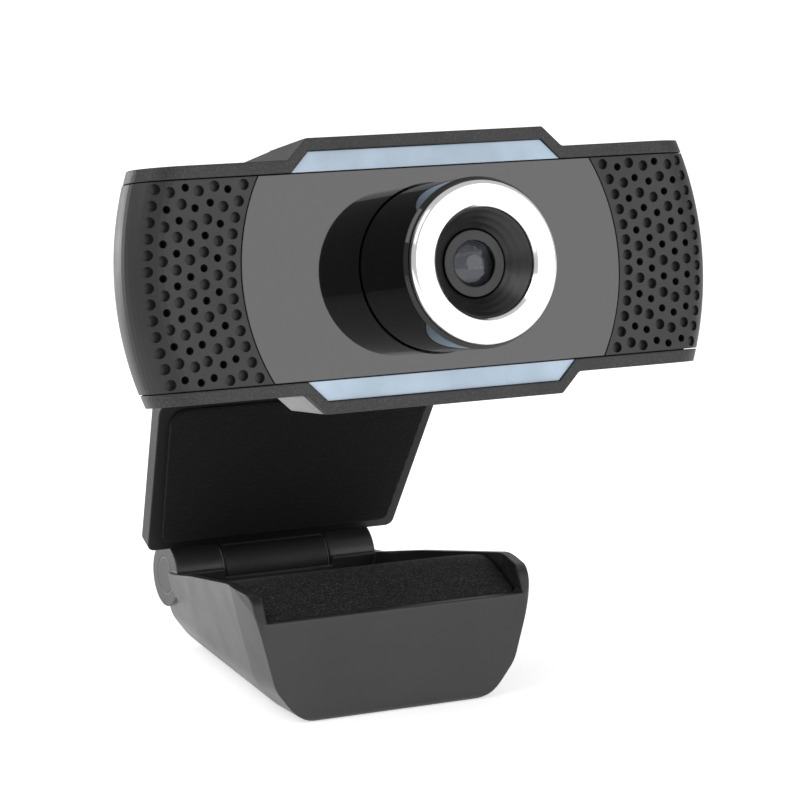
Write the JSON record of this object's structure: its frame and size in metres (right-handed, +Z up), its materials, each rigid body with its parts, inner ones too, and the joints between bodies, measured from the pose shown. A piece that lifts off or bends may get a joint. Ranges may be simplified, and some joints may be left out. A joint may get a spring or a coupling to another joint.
{
  "type": "clip-on webcam",
  "caption": "Wide webcam with a round lens in a stepped bezel between pierced grilles, on a swivel and tilt neck over a folding clip with a padded foot.",
  "frame": {"origin": "middle of the foot's flat underside on the desk", "axes": "+Z up, the lens looks towards -Y and a little up, X across the width"},
  "size_m": [0.0886, 0.0775, 0.083],
  "materials": {
    "foot_plastic": "smooth satin dark grey",
    "plate_plastic": "satin black",
    "bezel_plastic": "fine-grained black",
    "grille_plastic": "satin black",
    "panel_gloss": "gloss black",
    "barrel_gloss": "gloss black",
    "accent": "satin pale blue-grey",
    "pad_rubber": "fine stipple",
    "foam": "soft closed-cell foam",
    "inner_plastic": "matt black",
    "nylon": "natural nylon",
    "steel": "bright zinc",
    "neck_metal": "satin black on die-cast zinc",
    "ring_chrome": "bright chrome",
    "insert_plastic": "satin pale grey",
    "mesh": "black woven mesh",
    "optical_glass": "coated",
    "filter_glass": "pink interference coating",
    "board_laminate": "green solder mask",
    "chip": "moulded epoxy",
    "connector": "ivory nylon",
    "sensor": "ceramic package"
  },
  "bodies": {
    "foot": {"foot_shell": "foot_plastic", "foot_tray": "inner_plastic", "foot_pad": "pad_rubber", "foot_screws": "steel", "hinge_pin": "steel", "hinge_caps": "foot_plastic", "hinge_washers": "nylon"},
    "plate": {"clip_plate": "plate_plastic", "plate_pad": "foam", "tilt_pin": "steel", "tilt_washers": "nylon"},
    "neck": {"neck_block": "neck_metal", "swivel_washer": "nylon", "post_clip": "steel"},
    "focus": {"focus_ring": "ring_chrome", "mouth_cone": "inner_plastic"},
    "lens": {"lens_cell": "inner_plastic", "lens_retainer": "inner_plastic", "front_lens": "optical_glass", "middle_lens": "optical_glass", "rear_lens": "optical_glass"},
    "head": {"swivel_arm": "plate_plastic", "arm_screws": "steel", "rear_housing": "bezel_plastic", "cord_grommet": "pad_rubber", "housing_screws": "steel", "front_bezel": "bezel_plastic", "front_panel": "panel_gloss", "lower_insert_left": "insert_plastic", "lower_insert_right": "insert_plastic", "accent_strip_top": "accent", "accent_strip_bottom": "accent", "grille_left": "grille_plastic", "grille_right": "grille_plastic", "dust_mesh_left": "mesh", "dust_mesh_right": "mesh", "microphone_left": "steel", "microphone_right": "steel", "microphone_boot_left": "pad_rubber", "microphone_boot_right": "pad_rubber", "lens_barrel": "barrel_gloss", "lens_mount": "inner_plastic", "infrared_filter": "filter_glass", "image_sensor": "sensor", "circuit_board": "board_laminate", "controller_chip": "chip", "crystal_can": "steel", "board_connector": "connector", "board_screws": "steel"}
  },
  "joints": [
    {"name": "foot_fold", "type": "hinge", "parent": "foot", "child": "plate", "pos_m": [0, 0.0224, 0.0121], "axis": [-1, 0, 0], "range_deg": [-8, 90]},
    {"name": "head_tilt", "type": "hinge", "parent": "plate", "child": "neck", "pos_m": [0, 0.01565, 0.04007], "axis": [-1, 0, 0], "range_deg": [-15, 45]},
    {"name": "head_pan", "type": "hinge", "parent": "neck", "child": "head", "pos_m": [0, 0.01565, 0.04007], "axis": [0, 0.1788, 0.9839], "range_deg": [-35, 35]},
    {"name": "focus_turn", "type": "hinge", "parent": "head", "child": "focus", "pos_m": [0, -0.03402, 0.06481], "axis": [0, -0.9839, 0.1788], "range_deg": [-180, 180]},
    {"name": "lens_focus", "type": "slide", "parent": "head", "child": "lens", "axis": [0, -0.9839, 0.1788], "range_m": [-0.00026, 0.00026]}
  ],
  "couplings": [
    {"joint": "lens_focus", "follows": "focus_turn", "m_per_rad": 0.000079577}
  ]
}
